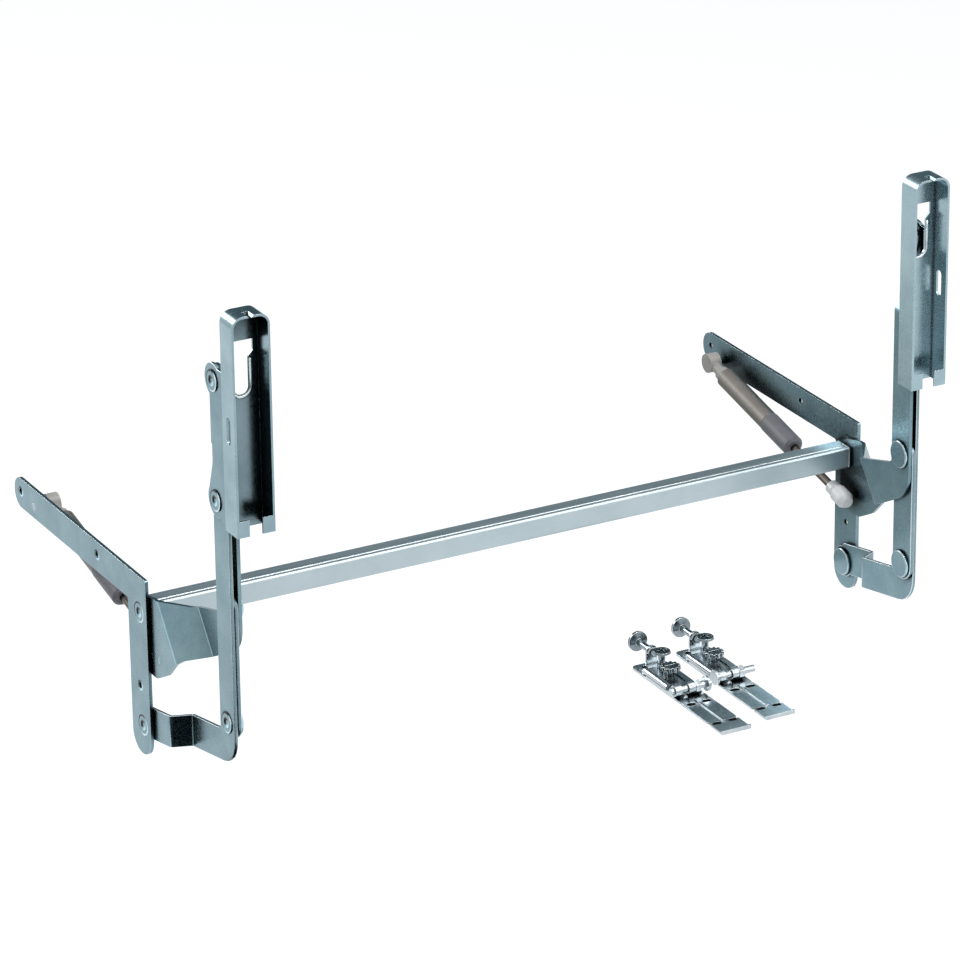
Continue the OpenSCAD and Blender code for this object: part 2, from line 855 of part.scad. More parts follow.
crossbar();
left_set() side_plate();  // left_side_plate
right_set() side_plate();  // right_side_plate
left_set() plate_rivets();  // left_plate_rivets
right_set() plate_rivets();  // right_plate_rivets
left_set() upper_lever();  // left_upper_lever
right_set() upper_lever();  // right_upper_lever
left_set() upper_lever_rivets();  // left_upper_lever_rivets
right_set() upper_lever_rivets();  // right_upper_lever_rivets
left_set() lower_lever();  // left_lower_lever
right_set() lower_lever();  // right_lower_lever
left_set() lower_lever_rivets();  // left_lower_lever_rivets
right_set() lower_lever_rivets();  // right_lower_lever_rivets
left_set() coupler_link();  // left_coupler_link
right_set() coupler_link();  // right_coupler_link
left_set() door_bracket();  // left_door_bracket
right_set() door_bracket();  // right_door_bracket
left_set() door_channel();  // left_door_channel
right_set() door_channel();  // right_door_channel
left_set() rear_stud();  // left_rear_stud
right_set() rear_stud();  // right_rear_stud
left_set() front_stud();  // left_front_stud
right_set() front_stud();  // right_front_stud
left_set() rear_socket();  // left_rear_socket
right_set() rear_socket();  // right_rear_socket
left_set() front_socket();  // left_front_socket
right_set() front_socket();  // right_front_socket
left_set() strut_tube();  // left_strut_tube
right_set() strut_tube();  // right_strut_tube
left_set() strut_cap();  // left_strut_cap
right_set() strut_cap();  // right_strut_cap
left_set() strut_rod();  // left_strut_rod
right_set() strut_rod();  // right_strut_rod
left_set() strut_piston();  // left_strut_piston
right_set() strut_piston();  // right_strut_piston
left_set() bar_socket();  // left_bar_socket
right_set() bar_socket();  // right_bar_socket
first_bracket() fixing_base();  // first_fixing_base
second_bracket() fixing_base();  // second_fixing_base
first_bracket() fixing_carriage();  // first_fixing_carriage
second_bracket() fixing_carriage();  // second_fixing_carriage
first_bracket() hook_screw();  // first_hook_screw
second_bracket() hook_screw();  // second_hook_screw
first_bracket() hook_nut();  // first_hook_nut
second_bracket() hook_nut();  // second_hook_nut
first_bracket() lock_screw();  // first_lock_screw
second_bracket() lock_screw();  // second_lock_screw
first_bracket() toothed_wheel();  // first_toothed_wheel
second_bracket() toothed_wheel();  // second_toothed_wheel
first_bracket() clamp_bolt(14);  // first_clamp_bolt
second_bracket() clamp_bolt(-14.5);  // second_clamp_bolt
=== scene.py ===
"""Looks of the lift-up door mechanism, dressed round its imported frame. Lengths are in metres."""
import math

import bpy
from mathutils import Matrix, Vector


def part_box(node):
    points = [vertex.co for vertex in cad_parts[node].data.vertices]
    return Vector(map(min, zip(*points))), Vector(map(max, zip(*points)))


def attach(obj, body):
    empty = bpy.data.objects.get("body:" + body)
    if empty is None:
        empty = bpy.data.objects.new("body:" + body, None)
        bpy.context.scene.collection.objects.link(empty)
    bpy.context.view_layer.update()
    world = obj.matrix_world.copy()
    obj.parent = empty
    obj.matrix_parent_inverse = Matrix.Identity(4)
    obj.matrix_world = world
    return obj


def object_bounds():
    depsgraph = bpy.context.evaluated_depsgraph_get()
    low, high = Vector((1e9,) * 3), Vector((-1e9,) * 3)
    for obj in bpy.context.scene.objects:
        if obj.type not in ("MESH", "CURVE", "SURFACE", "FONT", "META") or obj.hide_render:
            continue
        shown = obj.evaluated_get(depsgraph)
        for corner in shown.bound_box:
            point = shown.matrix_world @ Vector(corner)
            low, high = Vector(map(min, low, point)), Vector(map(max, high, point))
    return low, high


MM = 0.001

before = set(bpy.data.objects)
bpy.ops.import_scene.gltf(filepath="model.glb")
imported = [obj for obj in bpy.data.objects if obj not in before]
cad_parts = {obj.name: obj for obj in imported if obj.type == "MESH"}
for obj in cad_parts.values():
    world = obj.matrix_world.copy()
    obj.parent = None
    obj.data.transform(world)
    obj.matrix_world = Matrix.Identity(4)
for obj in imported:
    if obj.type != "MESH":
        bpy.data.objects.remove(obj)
cad_low, cad_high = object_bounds()

# Camera, fitted to the photograph, whose frame is 960 by 960
CAMERA_AT = Vector((-1.3262, -2.9751, 1.5128))
CAMERA_AZIMUTH = math.radians(-28.10)
CAMERA_ELEVATION = math.radians(22.79)
CAMERA_ROLL = math.radians(-0.668)
FOCAL_PIXELS = 5292.8
FRAME_PIXELS = 960
SENSOR_MM = 36

# Level of the mechanism's foot
STAND_Z = cad_low.z

# The floor lies low enough for the levers to hang down over it when the door is closed
FLOOR_DROP = 0.42
FLOOR_Z = STAND_Z - FLOOR_DROP
FLOOR_SIZE = 30
FLOOR_COLOUR = (0.44, 0.445, 0.45)
FLOOR_GLOW = 0.62

# Light from all round, and the lamps as (place from the studio's centre, size in metres, power in watts)
STUDIO_CENTRE = Vector((0.28, 0.0, 0.10))
AMBIENT_COLOUR = (0.93, 0.97, 1.0)
AMBIENT_STRENGTH = 0.62
SOFTBOXES = {
    "overhead_box": ((0.6, -0.8, 2.6), (1.8, 1.2), 45),
    "back_box": ((-1.3, 2.6, 1.3), (1.4, 0.8), 28),
    "front_box": ((2.0, -2.4, 1.6), (1.4, 1.4), 18),
}

# Dark and grey cards that lie level above the mechanism's foot, their outlines as (x, y) in metres
FLOOR_CARD_LIFT = 1.5 * MM
FRONT_LEFT_CARD = (
    (-2.2, -2.2), (0.14, -2.2), (0.14, -0.55), (0.05, -0.40), (0.05, -0.110), (-0.01, -0.050),
    (-0.05, -0.03), (-0.08, 0.02), (-0.17, 0.02), (-0.17, -0.05), (-0.12, -0.075), (-0.12, -0.145),
    (-2.2, -0.145),
)
FRONT_LEFT_GREY = (0.008, 0.010, 0.012)
REAR_CENTRE_CARD = ((0.12, 0.04), (0.60, 0.04), (0.60, 1.3), (0.12, 1.3))
REAR_CENTRE_GREY = (0.58, 0.62, 0.62)
FLANGE_CARD_LIFT = 4 * MM
FLANGE_CARD = ((0.485, 0.120), (0.478, 0.20), (0.43, 0.30), (0.37, 0.30), (0.40, 0.22), (0.445, 0.145))
FLANGE_GREY = (0.006, 0.008, 0.010)

# The upright card behind the right side, its corners as (x, y, z) in metres
REAR_RIGHT_CARD = ((-0.5, 3.4, 0.1), (3.8, 1.0, 0.1), (3.8, 1.0, 3.0), (-0.5, 3.4, 3.0))
REAR_RIGHT_GREY = (0.10, 0.15, 0.17)

# Painted shade: a dark sheet under the fixing brackets, standing in for the shadow in their slots
SLOT_SHADE_COLOUR = (0.01, 0.011, 0.012)
SLOT_SHADE_INSET = 1.2 * MM
SLOT_SHADE_LIFT = 0.4 * MM

# Pivots of the levers in the side view, as (y, z) in metres
PIVOTS = tuple(
    (y * MM, z * MM)
    for y, z in ((-2, 55), (-2, -29), (-103, 95), (-103, 11), (-103, 255), (-103, 171))
)

# Plane between the left and the right lever set
MIDDLE_X = (cad_low.x + cad_high.x) / 2

# Wall screw holes of the side plates, as (y, z) in metres
SCREW_HOLES = ((0, 0), (64 * MM, 72 * MM), (192 * MM, 72 * MM))

# Painted shade and highlight of a pressed ring, as (radius in millimetres, strength) stops from its middle
# outwards
TAIL_RING_SHADING = (
    (0.0, 0.0), (1.3, 0.0), (1.8, 1.0), (3.4, 1.0), (3.9, 0.0), (6.2, 0.0), (6.6, 1.0), (7.8, 1.0),
)
HOLE_RING_SHADING = ((0.0, 1.0), (3.4, 1.0), (4.0, 0.0))
RING_SHADING_SHIFT = (-0.4 * MM, -0.3 * MM)
RING_SHADING_CONTRAST = 1.3
RING_SHADING_DARKEST = 0.02
RING_SHADING_LIGHTEST = 1.25

# Painted highlight along the bends, which are found by how far a face turns from the sheet's own plane:
# where the highlight begins and ends
BEND_RISE = (0.82, 0.88)
BEND_FALL = (0.955, 0.98)
BEND_UPRIGHT = 0.42
BEND_LIGHT = 0.40

# Keyhole of each door channel, in millimetres: its round lower end, half its slot's width and its neck
KEYHOLE_Z = 254.2
KEYHOLE_HALF = 5.2
KEYHOLE_NECK_Z = 275.3
CHANNEL_WEB_Y = -122.1
CHANNEL_MIDDLES = {"left": 24.75, "right": 539.25}

# Half-round rim round a keyhole, in millimetres: how far below the neck it ends, and its section
RIM_END = 1.5
RIM_STEPS = 24
RIM_MIDDLE = 1.2
RIM_HALF_WIDTH = 1.1
RIM_HEIGHT = 0.7

# Crimped tail of each front ball stud, in millimetres: (radius, height) from its middle outwards
CRIMP_PROFILE = ((0.4, 0.05), (1.0, 0.08), (1.6, 0.22), (2.4, 0.22), (2.9, 0.02), (2.9, -0.2))
CRIMP_PLACES = {"left": (2.8, -26.5, 28.2), "right": (561.2, -26.5, 28.2)}

# Scales of the noise in the finishes, per metre
CLOUD_SCALE = 38
FLECK_SCALE = 1500
BRUSH_SCALE = 420
PLASTIC_CLOUD_SCALE = 90
PLASTIC_PEEL_SCALE = 900
GRAIN_DEPTH = 0.05 * MM

# Painted shade: how dark the base colour gets in the narrowest gaps between sheets
CREVICE_SHADE = 0.02

# Width of the rounding on a node's sharp edges, in metres by material slot
EDGE_ROUNDING = {
    "pressed_steel": 0.42 * MM,
    "bright_steel": 0.38 * MM,
    "bar_aluminium": 0.3 * MM,
    "strut_paint": 0.3 * MM,
    "cap_plastic": 0.3 * MM,
    "socket_plastic": 0.3 * MM,
    "white_plastic": 0.3 * MM,
    "rod_steel": 0.2 * MM,
    "zinc_hardware": 0.2 * MM,
}


def linear(red, green, blue):
    """A colour picked on screen, from 0 to 255 a channel, as linear light."""
    return tuple(
        c / 12.92 if c <= 0.04045 else ((c + 0.055) / 1.055) ** 2.4
        for c in (red / 255, green / 255, blue / 255)
    )


# Material helpers


class Shader:
    """A material's node tree, with short calls for the nodes that the finishes share."""

    def __init__(self, name):
        self.material = bpy.data.materials.new(name)
        self.material.use_nodes = True
        self.tree = self.material.node_tree
        self.surface = self.tree.nodes["Principled BSDF"]
        coordinates = self.tree.nodes.new("ShaderNodeTexCoord")
        self.place = coordinates.outputs["Object"]
        self.facing = coordinates.outputs["Normal"]

    def link(self, source, target):
        self.tree.links.new(source, target)

    def stretched(self, scale):
        node = self.tree.nodes.new("ShaderNodeMapping")
        node.inputs["Scale"].default_value = scale
        self.link(self.place, node.inputs["Vector"])
        return node.outputs["Vector"]

    def noise(self, scale, detail=2.0, roughness=0.5, vector=None):
        node = self.tree.nodes.new("ShaderNodeTexNoise")
        node.inputs["Scale"].default_value = scale
        node.inputs["Detail"].default_value = detail
        node.inputs["Roughness"].default_value = roughness
        self.link(vector or self.place, node.inputs["Vector"])
        return node.outputs["Fac"]

    def ranged(self, value, low, high, from_low=0.3, from_high=0.7):
        node = self.tree.nodes.new("ShaderNodeMapRange")
        node.inputs["From Min"].default_value = from_low
        node.inputs["From Max"].default_value = from_high
        node.inputs["To Min"].default_value = low
        node.inputs["To Max"].default_value = high
        self.link(value, node.inputs["Value"])
        return node.outputs["Result"]

    def math(self, operation, first, second):
        node = self.tree.nodes.new("ShaderNodeMath")
        node.operation = operation
        for socket, value in zip(node.inputs, (first, second)):
            if isinstance(value, (int, float)):
                socket.default_value = value
            else:
                self.link(value, socket)
        return node.outputs["Value"]

    def mixed(self, factor, first, second):
        node = self.tree.nodes.new("ShaderNodeMix")
        node.data_type = "RGBA"
        self.link(factor, node.inputs["Factor"])
        for socket, value in ((node.inputs[6], first), (node.inputs[7], second)):
            if isinstance(value, tuple):
                socket.default_value = (*value, 1)
            else:
                self.link(value, socket)
        return node.outputs[2]

    def multiplied(self, first, second):
        node = self.tree.nodes.new("ShaderNodeMix")
        node.data_type = "RGBA"
        node.blend_type = "MULTIPLY"
        node.inputs["Factor"].default_value = 1.0
        self.link(first, node.inputs[6])
        self.link(second, node.inputs[7])
        return node.outputs[2]

    def tinted(self, colour, amount, dark):
        """The colour itself where the amount is 1, and its dark shade where it is 0."""
        return self.multiplied(colour, self.mixed(amount, (dark, dark, dark), (1.0, 1.0, 1.0)))

    def parted(self, vector):
        """The X, Y and Z of a vector, each by its name."""
        node = self.tree.nodes.new("ShaderNodeSeparateXYZ")
        self.link(vector, node.inputs[0])
        return node.outputs

    def openness(self, reach, closed, free):
        """1 in the open and 0 in a narrow gap, between two shares of open sky."""
        shade = self.tree.nodes.new("ShaderNodeAmbientOcclusion")
        shade.samples = 10
        shade.inputs["Distance"].default_value = reach
        return self.ranged(shade.outputs["AO"], 0, 1, closed, free)

    def bumped(self, height, strength, distance):
        node = self.tree.nodes.new("ShaderNodeBump")
        node.inputs["Strength"].default_value = strength
        node.inputs["Distance"].default_value = distance
        self.link(height, node.inputs["Height"])
        return node.outputs["Normal"]

    def nearest(self, flat, centres, shift=(0, 0)):
        """Distance in the side view from the nearest of some centres."""
        least = None
        for y, z in centres:
            away = self.tree.nodes.new("ShaderNodeVectorMath")
            away.operation = "DISTANCE"
            away.inputs[1].default_value = (0, y + shift[0], z + shift[1])
            self.link(flat, away.inputs[0])
            far = away.outputs["Value"]
            least = far if least is None else self.math("MINIMUM", least, far)
        return least

    def painted_ring_shading(self, centres, ring_shading):
        """0.5 on plain metal; round each centre a ring of painted shade on its upper rear side and painted
        highlight below.
        """
        side = self.tree.nodes.new("ShaderNodeVectorMath")
        side.operation = "MULTIPLY"
        side.inputs[1].default_value = (0, 1, 1)
        self.link(self.place, side.inputs[0])
        flat = side.outputs["Vector"]
        far = self.nearest(flat, centres)
        slant = self.math("SUBTRACT", self.nearest(flat, centres, RING_SHADING_SHIFT), far)
        slant = self.math("MULTIPLY", slant, RING_SHADING_CONTRAST / math.hypot(*RING_SHADING_SHIFT))
        reach = ring_shading[-1][0] * MM
        ramp = self.tree.nodes.new("ShaderNodeValToRGB")
        self.link(self.math("DIVIDE", far, reach), ramp.inputs["Fac"])
        stops = ramp.color_ramp.elements
        for radius, _ in ring_shading[1:-1]:
            stops.new(radius * MM / reach)
        for stop, (radius, strength) in zip(stops, ring_shading):
            stop.position = radius * MM / reach
            stop.color = (strength, strength, strength, 1)
        strength = self.math("MULTIPLY", ramp.outputs["Color"], self.outward())
        tone = self.math("SUBTRACT", 0.5, self.math("MULTIPLY", slant, strength))
        return self.math("MINIMUM", self.math("MAXIMUM", tone, RING_SHADING_DARKEST), RING_SHADING_LIGHTEST)

    def outward(self):
        """1 on faces that look away from the middle of the mechanism, 0 on the inner side."""
        from_middle = self.math("SUBTRACT", self.parted(self.place)["X"], MIDDLE_X)
        product = self.math("MULTIPLY", from_middle, self.parted(self.facing)["X"])
        return self.math("GREATER_THAN", product, -0.02)

    def painted_bend_highlight(self):
        """0.5 on flat sheet, lighter along the bends: a painted highlight."""
        facing = self.parted(self.facing)
        level = self.math("ABSOLUTE", facing["X"], 0)
        rise = self.ranged(level, 0, 1, *BEND_RISE)
        fall = self.ranged(level, 1, 0, *BEND_FALL)
        upright = self.math("LESS_THAN", self.math("ABSOLUTE", facing["Z"], 0), BEND_UPRIGHT)
        finish_or_highlight = self.math("MULTIPLY", self.math("MULTIPLY", rise, fall), upright)
        return self.math("ADD", 0.5, self.math("MULTIPLY", finish_or_highlight, BEND_LIGHT))

    def toned(self, colour, tone):
        """A colour doubled at tone 1, kept at 0.5 and black at 0."""
        twice = self.tree.nodes.new("ShaderNodeVectorMath")
        twice.operation = "SCALE"
        twice.inputs["Scale"].default_value = 2
        self.link(tone, twice.inputs[0])
        return self.multiplied(colour, twice.outputs["Vector"])


def metal(name, dark, light, rough, speckle=0.06, stretch=(1, 1, 1), grain=0.05, reach=18 * MM,
          closed=0.38, free=0.86, centres=None, ring_shading=None, bends=False, metallic=1.0):
    """A metal whose colour wanders from dark to light, with a fine speckle and uneven polish, and with
    painted shade in its gaps and hollows; it can also carry painted shade and highlight round given
    centres, and a painted highlight along its bends.
    """
    shader = Shader(name)
    shader.surface.inputs["Metallic"].default_value = metallic
    cloud = shader.noise(CLOUD_SCALE, detail=4, roughness=0.6)
    fleck = shader.noise(FLECK_SCALE, detail=1)
    brushed = shader.noise(BRUSH_SCALE, detail=3, vector=shader.stretched(stretch))
    blend = cloud
    for pattern, share in ((fleck, speckle * 4), (brushed, 0.4)):
        swing = shader.math("MULTIPLY", shader.math("SUBTRACT", pattern, 0.5), share)
        blend = shader.math("ADD", blend, swing)
    colour = shader.mixed(shader.ranged(blend, 0, 1), dark, light)
    # Painted shade: ambient occlusion darkens the base colour in gaps and hollows
    colour = shader.tinted(colour, shader.openness(reach, closed, free), CREVICE_SHADE)
    if centres is not None:
        # Painted shade and highlight ringing the given centres
        colour = shader.toned(colour, shader.painted_ring_shading(centres, ring_shading))
    if bends:
        # Painted highlight along the bends
        colour = shader.toned(colour, shader.painted_bend_highlight())
    shader.link(colour, shader.surface.inputs["Base Color"])
    uneven = shader.ranged(brushed, rough - 0.04, rough + 0.05)
    shader.link(uneven, shader.surface.inputs["Roughness"])
    grained = shader.bumped(shader.math("ADD", fleck, brushed), grain, GRAIN_DEPTH)
    shader.link(grained, shader.surface.inputs["Normal"])
    return shader.material


def plastic(name, dark, light, rough, coat=0.0):
    """A moulded plastic or paint with a faint orange-peel surface."""
    shader = Shader(name)
    cloud = shader.noise(PLASTIC_CLOUD_SCALE, detail=3)
    peel = shader.noise(PLASTIC_PEEL_SCALE, detail=2)
    shader.link(shader.mixed(shader.ranged(cloud, 0, 1), dark, light), shader.surface.inputs["Base Color"])
    shader.link(shader.ranged(peel, rough - 0.04, rough + 0.06), shader.surface.inputs["Roughness"])
    shader.surface.inputs["Coat Weight"].default_value = coat
    shader.link(shader.bumped(peel, 0.12, GRAIN_DEPTH), shader.surface.inputs["Normal"])
    return shader.material


def make_finishes():
    """One material for each material slot of the record."""
    steel_dark = linear(110, 138, 148)
    steel_light = linear(131, 157, 165)
    zinc_dark = linear(172, 181, 186)
    zinc_light = linear(198, 206, 210)
    return {
        "pressed_steel": metal("pressed_steel_look", steel_dark, steel_light, 0.28),
        # Painted shade: a copy of the pressed steel with wider painted shade near other parts, and painted
        # shade and highlight ringing each screw hole
        "plate_steel": metal(
            "plate_steel_look", steel_dark, steel_light, 0.28, reach=26 * MM, closed=0.45, free=0.90,
            centres=SCREW_HOLES, ring_shading=HOLE_RING_SHADING,
        ),
        # Painted shadow: a copy of the pressed steel whose long reach darkens the levers near the bar,
        # strut and sockets, with a painted highlight along the bends
        "lever_steel": metal(
            "lever_steel_look", steel_dark, steel_light, 0.24, reach=40 * MM, closed=0.60, free=0.97,
            bends=True,
        ),
        # A copy of the pressed steel with painted shade and highlight ringing each rivet tail
        "rivet_steel": metal(
            "rivet_steel_look", steel_dark, steel_light, 0.24, reach=6 * MM,
            centres=PIVOTS, ring_shading=TAIL_RING_SHADING,
        ),
        "bright_steel": metal(
            "bright_steel_look", linear(134, 158, 167), linear(152, 175, 183), 0.22, reach=22 * MM,
        ),
        # Painted light: a lighter copy of the bright steel for the right channel, with less painted shade
        # in its hollows
        "right_channel_lit_copy": metal(
            "right_channel_look", linear(150, 173, 181), linear(166, 188, 195), 0.26,
            speckle=0.02, reach=3 * MM,
        ),
        "bar_aluminium": metal(
            "bar_aluminium_look", linear(176, 191, 196), linear(185, 199, 204), 0.34,
            speckle=0.02, stretch=(0.03, 1, 1), grain=0.02, reach=2 * MM, metallic=0.9,
        ),
        "strut_paint": metal(
            "strut_paint_look", linear(118, 115, 111), linear(134, 130, 126), 0.50,
            speckle=0.04, reach=6 * MM,
        ),
        "cap_plastic": plastic("cap_plastic_look", linear(96, 96, 102), linear(110, 109, 114), 0.42),
        "socket_plastic": plastic(
            "socket_plastic_look", linear(146, 143, 138), linear(160, 157, 152), 0.40,
        ),
        "white_plastic": plastic(
            "white_plastic_look", linear(230, 230, 230), linear(241, 241, 240), 0.30, coat=0.3,
        ),
        "rod_steel": metal(
            "rod_steel_look", linear(84, 78, 74), linear(112, 106, 100), 0.28,
            stretch=(1, 0.05, 1), reach=4 * MM,
        ),
        "zinc_hardware": metal("zinc_hardware_look", zinc_dark, zinc_light, 0.20, reach=4 * MM),
        "zinc_screw": metal(
            "zinc_screw_look", linear(96, 106, 112), linear(150, 161, 167), 0.16, reach=5 * MM,
        ),
    }


def make_edge_finishes():
    """The brighter metal on the rounded edges of each metal finish, a painted highlight."""
    steel_edge_highlight = (linear(200, 214, 218), linear(222, 232, 235), 0.30)
    bright_edge_highlight = (linear(212, 223, 227), linear(232, 239, 241), 0.26)
    steel = metal("steel_edge_look", *steel_edge_highlight, speckle=0, grain=0.0, reach=4 * MM)
    rivet = metal(
        "rivet_edge_look", *steel_edge_highlight, speckle=0, grain=0.0, reach=4 * MM,
        centres=PIVOTS, ring_shading=TAIL_RING_SHADING,
    )
    light = metal("bright_edge_look", *bright_edge_highlight, speckle=0, grain=0.0, reach=3 * MM)
    return {
        "pressed_steel": steel,
        "rivet_steel": rivet,
        "bright_steel": light,
        "right_channel_lit_copy": light,
        "bar_aluminium": light,
        "zinc_hardware": light,
        "zinc_screw": light,
        "plate_steel": steel,
        "lever_steel": steel,
    }


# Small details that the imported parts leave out


def add_mesh(name, verts, faces):
    """A new object in the scene, with a mesh of its own."""
    mesh = bpy.data.meshes.new(name)
    mesh.from_pydata(verts, [], faces)
    mesh.update()
    added = bpy.data.objects.new(name, mesh)
    bpy.context.scene.collection.objects.link(added)
    return added


def add_detail(name, verts, faces, place, body, finish):
    """A small steel piece that rides on a body; its first and last faces are its flat ends."""
    piece = add_mesh(name, verts, faces)
    for face in piece.data.polygons[1:-1]:
        face.use_smooth = True
    piece.location = place
    piece.data.materials.append(finish)
    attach(piece, body)


def make_turned(name, place, profile, facing, body, finish):
    """Turned about the X axis from (radius, height) in millimetres, and facing -1 or 1 along X."""
    steps = 40
    verts = []
    for radius, height in profile:
        for i in range(steps):
            angle = 2 * math.pi * i / steps * facing
            verts.append((
                facing * height * MM,
                radius * MM * math.cos(angle),
                radius * MM * math.sin(angle),
            ))
    faces = [tuple(range(steps))]
    for ring in range(len(profile) - 1):
        for i in range(steps):
            j = (i + 1) % steps
            low = ring * steps
            faces.append((low + i, low + steps + i, low + steps + j, low + j))
    faces.append(tuple(reversed(range((len(profile) - 1) * steps, len(profile) * steps))))
    add_detail(name, verts, faces, place, body, finish)


def make_ridge(name, path, body, finish):
    """A half-round ridge on a channel's web, along (x, z, outward x, outward z) in millimetres."""
    steps = 6
    verts = []
    for x, z, out_x, out_z in path:
        for i in range(steps + 1):
            angle = math.pi * i / steps
            across = RIM_MIDDLE - RIM_HALF_WIDTH * math.cos(angle)
            rise = RIM_HEIGHT * math.sin(angle)
            verts.append((
                (x + out_x * across) * MM,
                (CHANNEL_WEB_Y - rise) * MM,
                (z + out_z * across) * MM,
            ))
    row = steps + 1
    faces = [tuple(range(row))]
    for k in range(len(path) - 1):
        for i in range(steps):
            low = k * row + i
            faces.append((low, low + row, low + row + 1, low + 1))
        faces.append((k * row + steps, (k + 1) * row + steps, (k + 1) * row, k * row))
    last = (len(path) - 1) * row
    faces.append(tuple(range(last + steps, last - 1, -1)))
    add_detail(name, verts, faces, (0, 0, 0), body, finish)


def make_details(finishes, edge_finishes):
    """The raised rim below each keyhole, and the crimped tail of each front stud on its lever's lobe."""
    rim_top = KEYHOLE_NECK_Z - RIM_END
    for side, middle in CHANNEL_MIDDLES.items():
        path = [(middle - KEYHOLE_HALF, rim_top, -1, 0)]
        for i in range(RIM_STEPS + 1):
            angle = math.pi + math.pi * i / RIM_STEPS
            out_x = math.cos(angle)
            out_z = math.sin(angle)
            path.append((middle + KEYHOLE_HALF * out_x, KEYHOLE_Z + KEYHOLE_HALF * out_z, out_x, out_z))
        path.append((middle + KEYHOLE_HALF, rim_top, 1, 0))
        # The rim takes the brighter edge metal, a painted highlight
        make_ridge(side + "_keyhole_rim", path, side + "_door_mount", edge_finishes["bright_steel"])
    for side, place in CRIMP_PLACES.items():
        make_turned(
            side + "_lobe_crimp", Vector(place) * MM, CRIMP_PROFILE, {"left": -1, "right": 1}[side],
            "upper_levers", finishes["bright_steel"],
        )


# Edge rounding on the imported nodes


def rounded_edges(piece, width, edge_finish):
    """Rounds a node's sharp edges with modifiers alone, so that its own mesh stays as imported."""
    for face in piece.data.polygons:
        face.use_smooth = True
    weld = piece.modifiers.new("join_faces", "WELD")
    weld.merge_threshold = 0.002 * MM
    flat = piece.modifiers.new("plain_faces", "DECIMATE")
    flat.decimate_type = "DISSOLVE"
    flat.angle_limit = math.radians(0.6)
    bevel = piece.modifiers.new("round_edges", "BEVEL")
    bevel.width = width
    bevel.segments = 2
    bevel.limit_method = "ANGLE"
    bevel.angle_limit = math.radians(32)
    even = piece.modifiers.new("even_normals", "WEIGHTED_NORMAL")
    even.mode = "FACE_AREA"
    even.weight = 100
    # The bevels take the brighter edge metal, a painted highlight
    if edge_finish is not None:
        piece.data.materials.append(edge_finish)
        bevel.material = 1


def dress_nodes(finishes, edge_finishes):
    """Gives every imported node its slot's finish and rounded edges."""
    for name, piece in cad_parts.items():
        held = piece.material_slots[0]
        slot = held.material.name
        finish_or_highlight = slot
        if name.endswith("_rivets"):
            finish_or_highlight = "rivet_steel"
        if name.endswith("_side_plate"):
            finish_or_highlight = "plate_steel"
        if name.endswith("_lever"):
            finish_or_highlight = "lever_steel"
        if name == "right_door_channel":
            finish_or_highlight = "right_channel_lit_copy"
        if name.endswith(("_hook_screw", "_hook_nut", "_lock_screw", "_toothed_wheel")):
            finish_or_highlight = "zinc_screw"
        held.material = finishes[finish_or_highlight]
        rounded_edges(piece, EDGE_ROUNDING[slot], edge_finishes.get(finish_or_highlight))


# Studio


def seen_or_mirrored(tree):
    """1 for rays from the camera, and for mirrored or transmitted ones, otherwise 0."""
    path = tree.nodes.new("ShaderNodeLightPath")
    most = None
    for name in ("Is Camera Ray", "Is Glossy Ray", "Is Transmission Ray"):
        if most is None:
            most = path.outputs[name]
            continue
        node = tree.nodes.new("ShaderNodeMath")
        node.operation = "MAXIMUM"
        tree.links.new(most, node.inputs[0])
        tree.links.new(path.outputs[name], node.inputs[1])
        most = node.outputs["Value"]
    return most


def bare_material(name):
    """A new material with no nodes yet."""
    material = bpy.data.materials.new(name)
    material.use_nodes = True
    material.node_tree.nodes.clear()
    return material


def make_floor():
    """A pale floor that reads as white and keeps a soft shadow."""
    half = FLOOR_SIZE / 2
    corners = [(-half, -half, 0), (half, -half, 0), (half, half, 0), (-half, half, 0)]
    floor = add_mesh("floor", corners, [(0, 1, 2, 3)])
    floor.location = (STUDIO_CENTRE.x, STUDIO_CENTRE.y, FLOOR_Z)
    material = bare_material("floor_look")
    tree = material.node_tree
    paper = tree.nodes.new("ShaderNodeBsdfDiffuse")
    paper.inputs["Color"].default_value = (*FLOOR_COLOUR, 1)
    glow = tree.nodes.new("ShaderNodeEmission")
    lift = tree.nodes.new("ShaderNodeMath")
    lift.operation = "MULTIPLY"
    lift.inputs[1].default_value = FLOOR_GLOW
    tree.links.new(seen_or_mirrored(tree), lift.inputs[0])
    tree.links.new(lift.outputs["Value"], glow.inputs["Strength"])
    both = tree.nodes.new("ShaderNodeAddShader")
    tree.links.new(paper.outputs["BSDF"], both.inputs[0])
    tree.links.new(glow.outputs["Emission"], both.inputs[1])
    end = tree.nodes.new("ShaderNodeOutputMaterial")
    tree.links.new(both.outputs["Shader"], end.inputs["Surface"])
    floor.data.materials.append(material)


def make_world():
    """White to the camera and in reflections, a soft even light otherwise."""
    world = bpy.data.worlds.new("studio")
    bpy.context.scene.world = world
    world.use_nodes = True
    tree = world.node_tree
    tree.nodes.clear()
    ambient = tree.nodes.new("ShaderNodeBackground")
    ambient.inputs["Color"].default_value = (*AMBIENT_COLOUR, 1)
    ambient.inputs["Strength"].default_value = AMBIENT_STRENGTH
    white = tree.nodes.new("ShaderNodeBackground")
    white.inputs["Color"].default_value = (1, 1, 1, 1)
    white.inputs["Strength"].default_value = 1.0
    mix = tree.nodes.new("ShaderNodeMixShader")
    tree.links.new(seen_or_mirrored(tree), mix.inputs[0])
    tree.links.new(ambient.outputs[0], mix.inputs[1])
    tree.links.new(white.outputs[0], mix.inputs[2])
    end = tree.nodes.new("ShaderNodeOutputWorld")
    tree.links.new(mix.outputs[0], end.inputs["Surface"])


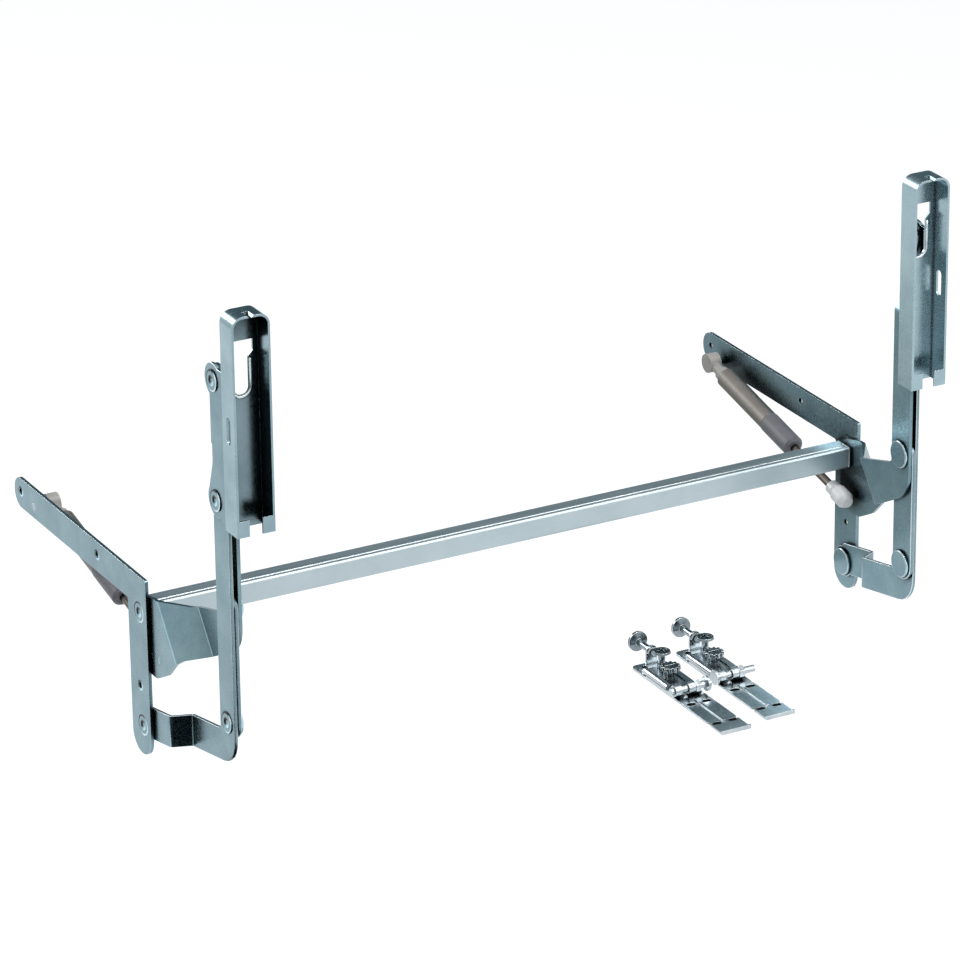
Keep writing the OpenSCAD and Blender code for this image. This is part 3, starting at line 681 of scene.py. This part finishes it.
def make_softbox(name, place, size, power):
    """A rectangular area lamp that faces the object."""
    data = bpy.data.lights.new(name, "AREA")
    data.shape = "RECTANGLE"
    data.size = size[0]
    data.size_y = size[1]
    data.energy = power
    lamp = bpy.data.objects.new(name, data)
    lamp.location = STUDIO_CENTRE + Vector(place)
    aim = STUDIO_CENTRE - lamp.location
    lamp.rotation_euler = aim.to_track_quat("-Z", "Y").to_euler()
    bpy.context.scene.collection.objects.link(lamp)


def make_card(name, corners, grey):
    """A dark studio card that shows only in reflections, for the contrast that bare metal needs."""
    card = add_mesh(name, corners, [tuple(range(len(corners)))])
    card.visible_camera = False
    card.visible_diffuse = False
    card.visible_shadow = False
    card.visible_transmission = False
    material = bare_material(name + "_look")
    tree = material.node_tree
    glow = tree.nodes.new("ShaderNodeEmission")
    glow.inputs["Color"].default_value = (*grey, 1)
    end = tree.nodes.new("ShaderNodeOutputMaterial")
    tree.links.new(glow.outputs["Emission"], end.inputs["Surface"])
    card.data.materials.append(material)


def make_floor_card(name, outline, grey, lift=FLOOR_CARD_LIFT):
    """A card that lies level just above the mechanism's foot, its outline as (x, y) points."""
    make_card(name, [(x, y, STAND_Z + lift) for x, y in outline], grey)


def make_cards():
    """The cards that the steel and the bar mirror from the photograph's side."""
    make_floor_card("front_left_card", FRONT_LEFT_CARD, FRONT_LEFT_GREY)
    make_floor_card("rear_centre_card", REAR_CENTRE_CARD, REAR_CENTRE_GREY)
    make_floor_card("flange_card", FLANGE_CARD, FLANGE_GREY, FLANGE_CARD_LIFT)
    make_card("rear_right_card", REAR_RIGHT_CARD, REAR_RIGHT_GREY)


def make_slot_shade():
    """Painted shade: a dark sheet under the two fixing brackets, seen only through their slots."""
    material = bpy.data.materials.new("slot_shade_look")
    material.use_nodes = True
    surface = material.node_tree.nodes["Principled BSDF"]
    surface.inputs["Base Color"].default_value = (*SLOT_SHADE_COLOUR, 1)
    surface.inputs["Roughness"].default_value = 0.9
    surface.inputs["Specular IOR Level"].default_value = 0.1
    z = STAND_Z + SLOT_SHADE_LIFT
    for which in ("first", "second"):
        low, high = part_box(which + "_fixing_base")
        left = low[0] + SLOT_SHADE_INSET
        right = high[0] - SLOT_SHADE_INSET
        front = low[1] + SLOT_SHADE_INSET
        rear = high[1] - SLOT_SHADE_INSET
        corners = [(left, front, z), (right, front, z), (right, rear, z), (left, rear, z)]
        sheet = add_mesh(which + "_slot_shade", corners, [(0, 1, 2, 3)])
        sheet.data.materials.append(material)


def make_lights():
    """The soft lamps round the object."""
    for name, (place, size, power) in SOFTBOXES.items():
        make_softbox(name, place, size, power)


def make_camera():
    """The photograph's viewpoint."""
    cos_up = math.cos(CAMERA_ELEVATION)
    back = Vector((
        math.sin(CAMERA_AZIMUTH) * cos_up,
        -math.cos(CAMERA_AZIMUTH) * cos_up,
        math.sin(CAMERA_ELEVATION),
    ))
    right = Vector((0, 0, 1)).cross(back).normalized()
    up = back.cross(right)
    cos_roll = math.cos(CAMERA_ROLL)
    sin_roll = math.sin(CAMERA_ROLL)
    across = right * cos_roll + up * sin_roll
    above = up * cos_roll - right * sin_roll
    data = bpy.data.cameras.new("camera")
    data.sensor_width = SENSOR_MM
    data.lens = FOCAL_PIXELS / FRAME_PIXELS * SENSOR_MM
    data.clip_start = 0.1
    data.clip_end = 60
    camera = bpy.data.objects.new("camera", data)
    camera.matrix_world = Matrix((
        (across.x, above.x, back.x, CAMERA_AT.x),
        (across.y, above.y, back.y, CAMERA_AT.y),
        (across.z, above.z, back.z, CAMERA_AT.z),
        (0, 0, 0, 1),
    ))
    bpy.context.scene.collection.objects.link(camera)
    bpy.context.scene.camera = camera


make_camera()
FINISHES = make_finishes()
EDGE_FINISHES = make_edge_finishes()
dress_nodes(FINISHES, EDGE_FINISHES)
make_details(FINISHES, EDGE_FINISHES)
make_floor()
make_world()
make_cards()
make_slot_shade()
make_lights()
bpy.context.scene.view_settings.view_transform = "Standard"
